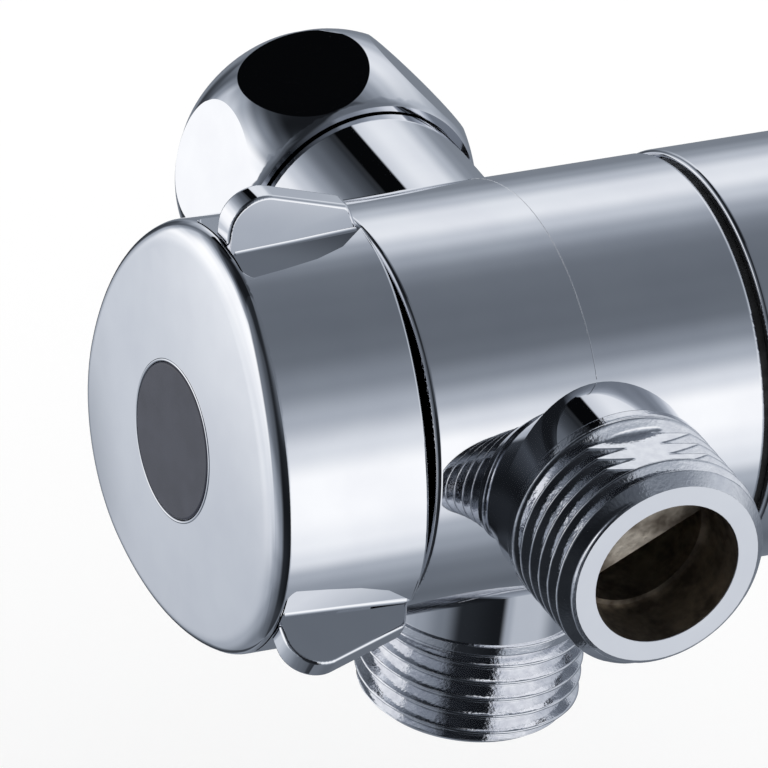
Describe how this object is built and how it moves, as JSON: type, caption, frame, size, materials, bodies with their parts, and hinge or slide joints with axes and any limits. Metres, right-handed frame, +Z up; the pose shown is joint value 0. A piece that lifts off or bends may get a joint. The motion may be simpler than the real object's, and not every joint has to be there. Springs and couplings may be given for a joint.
{
  "type": "shower diverter valve",
  "caption": "Chrome shower diverter: barrel body, swivel inlet nut, male front and lower outlets, three-finned turning knob and a plain swivel end.",
  "frame": {"origin": "centre of the inlet nut's mouth, where the supply pipe enters", "axes": "+X along the barrel from the knob to the swivel end, +Y out of the inlet towards the supply pipe, +Z up, so the lower outlet points along -Z and the front outlet along -Y"},
  "size_m": [0.0675, 0.0789, 0.0583],
  "materials": {
    "chrome_plate": "bright chrome plate on moulded ABS",
    "grey_plastic": "satin dark grey plastic",
    "black_rubber": "black nitrile rubber",
    "seat_rubber": "dark silicone rubber",
    "acetal": "natural acetal",
    "brass": "turned brass",
    "steel": "stainless steel"
  },
  "bodies": {
    "valve": {"valve_body": "chrome_plate", "seat_inlet": "seat_rubber", "seat_front": "seat_rubber", "seat_bottom": "seat_rubber", "bonnet": "brass", "bonnet_seal": "black_rubber", "nut_clip": "steel", "inlet_screen": "steel", "inlet_gasket": "seat_rubber", "friction_ring": "black_rubber", "wave_washer": "steel", "pivot_washer": "steel", "pivot_screw": "steel"},
    "knob": {"diverter_knob": "chrome_plate", "knob_insert": "grey_plastic", "knob_screw": "steel", "spindle": "brass", "spindle_seal_inner": "black_rubber", "spindle_seal_outer": "black_rubber", "thrust_washer": "acetal", "selector_ball": "acetal"},
    "end": {"swivel_end": "chrome_plate", "end_cap": "chrome_plate"},
    "nut": {"inlet_nut": "chrome_plate"}
  },
  "joints": [
    {"name": "diverter_turn", "type": "hinge", "parent": "valve", "child": "knob", "pos_m": [-0.0175, -0.046, 0], "axis": [1, 0, 0], "range_deg": [0, 180]},
    {"name": "end_swivel", "type": "hinge", "parent": "valve", "child": "end", "pos_m": [0.0178, -0.046, 0], "axis": [1, 0, 0], "continuous": true},
    {"name": "nut_spin", "type": "hinge", "parent": "valve", "child": "nut", "pos_m": [0, -0.0155, 0], "axis": [0, 1, 0], "continuous": true}
  ]
}
